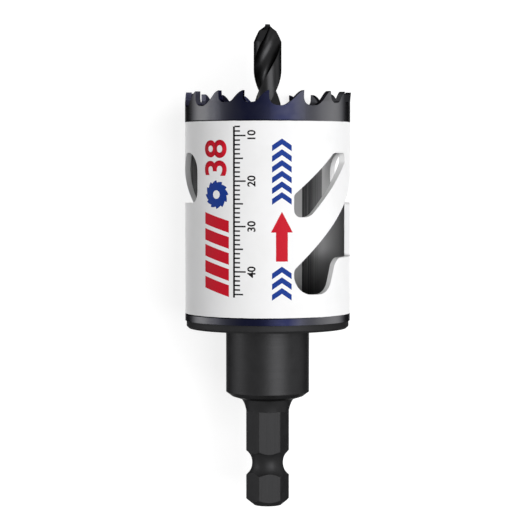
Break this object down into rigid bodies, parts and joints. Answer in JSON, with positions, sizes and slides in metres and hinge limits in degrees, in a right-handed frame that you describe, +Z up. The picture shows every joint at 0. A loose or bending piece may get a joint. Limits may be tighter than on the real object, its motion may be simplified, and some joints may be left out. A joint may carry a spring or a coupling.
{
  "type": "hole saw",
  "caption": "Hole saw for a drill chuck: a toothed, slotted white cup on a hex shank arbor with a fluted pilot drill.",
  "frame": {"origin": "on the surface the saw lies on, under the middle of its length", "axes": "+Y along the saw's axis, from the hex shank to the drill's tip; +Z up; the side shown in the picture faces up"},
  "size_m": [0.0379, 0.1102, 0.0377],
  "materials": {
    "saw_enamel": "white enamel with dark bare steel at both edges",
    "black_oxide": "black oxide steel",
    "drill_steel": "black oxide high speed steel"
  },
  "bodies": {
    "root": {"saw_band": "saw_enamel", "back_plate": "black_oxide", "arbor": "black_oxide", "pilot_drill": "drill_steel", "pilot_set_screw": "black_oxide"}
  },
  "joints": []
}
